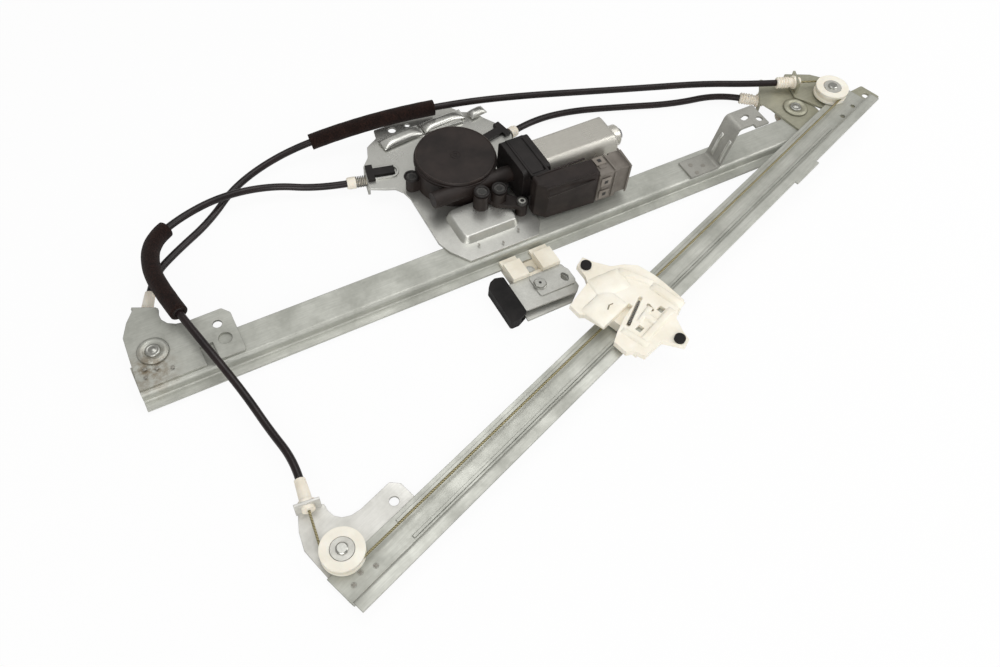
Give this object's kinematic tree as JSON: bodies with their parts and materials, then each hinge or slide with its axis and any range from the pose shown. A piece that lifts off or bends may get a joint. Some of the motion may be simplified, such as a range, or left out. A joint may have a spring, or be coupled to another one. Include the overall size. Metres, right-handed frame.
{
  "type": "window regulator",
  "caption": "Dual-rail cable window regulator of a car door, with a geared motor on the rear rail and a glass carrier on each rail.",
  "frame": {"origin": "centre of the bolt hole in the rear rail's lower tab, on the plate's outer face", "axes": "+X up the rear rail from its lower pulley to its upper one, +Z away from the floor that it lies on, +Y from the front rail towards the motor"},
  "size_m": [0.7166, 0.4026, 0.0571],
  "materials": {
    "zinc_steel": "galvanised, dull",
    "plate_steel": "galvanised, pressed, brighter",
    "bracket_steel": "galvanised, dull",
    "rivet_steel": "turned, satin",
    "cable_steel": "stranded wire, oiled",
    "spring_steel": "drawn wire",
    "can_steel": "drawn steel, satin",
    "screw_steel": "zinc plated",
    "pulley_nylon": "natural nylon",
    "nipple_nylon": "natural nylon",
    "carrier_nylon": "natural nylon",
    "cream_plastic": "cream acetal",
    "drum_plastic": "natural acetal",
    "dark_plastic": "moulded, fine grain",
    "black_plastic": "moulded",
    "taupe_plastic": "moulded, smooth",
    "conduit_plastic": "extruded cover, slight sheen",
    "foam": "closed-cell foam tube",
    "rubber_black": "moulded rubber",
    "carbon": "pressed carbon",
    "ferrite": "sintered, dull",
    "copper": "drawn copper",
    "laminations": "stamped sheets",
    "bronze": "sintered bronze",
    "board": "coated board",
    "pin_metal": "tinned brass"
  },
  "bodies": {
    "frame": {"rear_rail": "zinc_steel", "front_rail": "zinc_steel", "rear_lower_plate": "zinc_steel", "rear_upper_plate": "zinc_steel", "front_lower_plate": "zinc_steel", "front_upper_plate": "zinc_steel", "pulley_bushes": "rivet_steel", "pulley_rivets": "rivet_steel", "rear_lower_nipple": "nipple_nylon", "rear_upper_nipple": "nipple_nylon", "front_lower_nipple": "nipple_nylon", "front_upper_nipple": "nipple_nylon", "rear_rail_cable": "cable_steel", "front_rail_cable": "cable_steel", "motor_plate": "plate_steel", "left_spring_nipple": "nipple_nylon", "right_spring_nipple": "nipple_nylon", "tension_springs": "spring_steel", "retaining_clips": "black_plastic", "drum_case": "black_plastic", "drum_axle": "screw_steel", "left_drum_cable": "cable_steel", "right_drum_cable": "cable_steel", "gear_housing": "dark_plastic", "gear_cover": "dark_plastic", "motor_screws": "screw_steel", "brush_holder": "black_plastic", "motor_can": "can_steel", "rear_bearing": "bronze", "field_magnets": "ferrite", "carbon_brushes": "carbon", "control_box": "dark_plastic", "control_board": "board", "connector_shroud": "taupe_plastic", "connector_pins": "pin_metal", "offset_bracket": "bracket_steel", "left_conduit": "conduit_plastic", "long_conduit": "conduit_plastic", "right_conduit": "conduit_plastic", "left_foam_sleeve": "foam", "long_foam_sleeve": "foam"},
    "drum": {"cable_drum": "drum_plastic", "worm_wheel": "drum_plastic"},
    "armature": {"worm_shaft": "screw_steel", "armature_core": "laminations", "commutator": "copper"},
    "rear_lower_wheel": {"rear_lower_pulley": "pulley_nylon"},
    "rear_upper_wheel": {"rear_upper_pulley": "pulley_nylon"},
    "front_lower_wheel": {"front_lower_pulley": "pulley_nylon"},
    "front_upper_wheel": {"front_upper_pulley": "pulley_nylon"},
    "rear_carrier": {"rear_slider": "carrier_nylon", "clamp_plate": "bracket_steel", "clamp_seat": "bracket_steel", "clamp_screw": "screw_steel", "glass_rubber": "rubber_black"},
    "front_carrier": {"front_slider": "cream_plastic", "front_buttons": "rubber_black", "front_link": "cable_steel"}
  },
  "joints": [
    {"name": "armature_spin", "type": "hinge", "parent": "frame", "child": "armature", "pos_m": [0.2315, 0.02672, 0.017], "axis": [-1, 0, 0], "range_deg": [-41825, 39501]},
    {"name": "drum_spin", "type": "hinge", "parent": "frame", "child": "drum", "pos_m": [0.2315, 0.057, 0], "axis": [0, 0, 1], "range_deg": [-573.96, 542.13]},
    {"name": "rear_lower_pulley_spin", "type": "hinge", "parent": "frame", "child": "rear_lower_wheel", "pos_m": [-0.0495, -0.003, -0.0085], "axis": [0, 0, 1], "range_deg": [-794.33, 750.25]},
    {"name": "rear_upper_pulley_spin", "type": "hinge", "parent": "frame", "child": "rear_upper_wheel", "pos_m": [0.5655, -0.003, -0.0085], "axis": [0, 0, 1], "range_deg": [-794.33, 750.25]},
    {"name": "front_lower_pulley_spin", "type": "hinge", "parent": "frame", "child": "front_lower_wheel", "pos_m": [0.01111, -0.20506, -0.005], "axis": [-0.0219, -0.0074, 0.9997], "range_deg": [-794.33, 750.25]},
    {"name": "front_upper_pulley_spin", "type": "hinge", "parent": "frame", "child": "front_upper_wheel", "pos_m": [0.60419, -0.00524, 0.00947], "axis": [-0.0219, -0.0074, 0.9997], "range_deg": [-794.33, 750.25]},
    {"name": "rear_carrier_slide", "type": "slide", "parent": "frame", "child": "rear_carrier", "axis": [1, 0, 0], "range_m": [-0.1801, 0.1701]},
    {"name": "front_carrier_slide", "type": "slide", "parent": "frame", "child": "front_carrier", "axis": [0.9474, 0.3192, 0.0231], "range_m": [-0.1801, 0.1701]}
  ],
  "couplings": [
    {"joint": "drum_spin", "follows": "armature_spin", "ratio": 0.013699},
    {"joint": "rear_lower_pulley_spin", "follows": "armature_spin", "ratio": 0.018967},
    {"joint": "rear_upper_pulley_spin", "follows": "armature_spin", "ratio": 0.018967},
    {"joint": "front_lower_pulley_spin", "follows": "armature_spin", "ratio": 0.018967},
    {"joint": "front_upper_pulley_spin", "follows": "armature_spin", "ratio": 0.018967},
    {"joint": "rear_carrier_slide", "follows": "armature_spin", "m_per_rad": 0.00024658},
    {"joint": "front_carrier_slide", "follows": "armature_spin", "m_per_rad": 0.00024658}
  ]
}
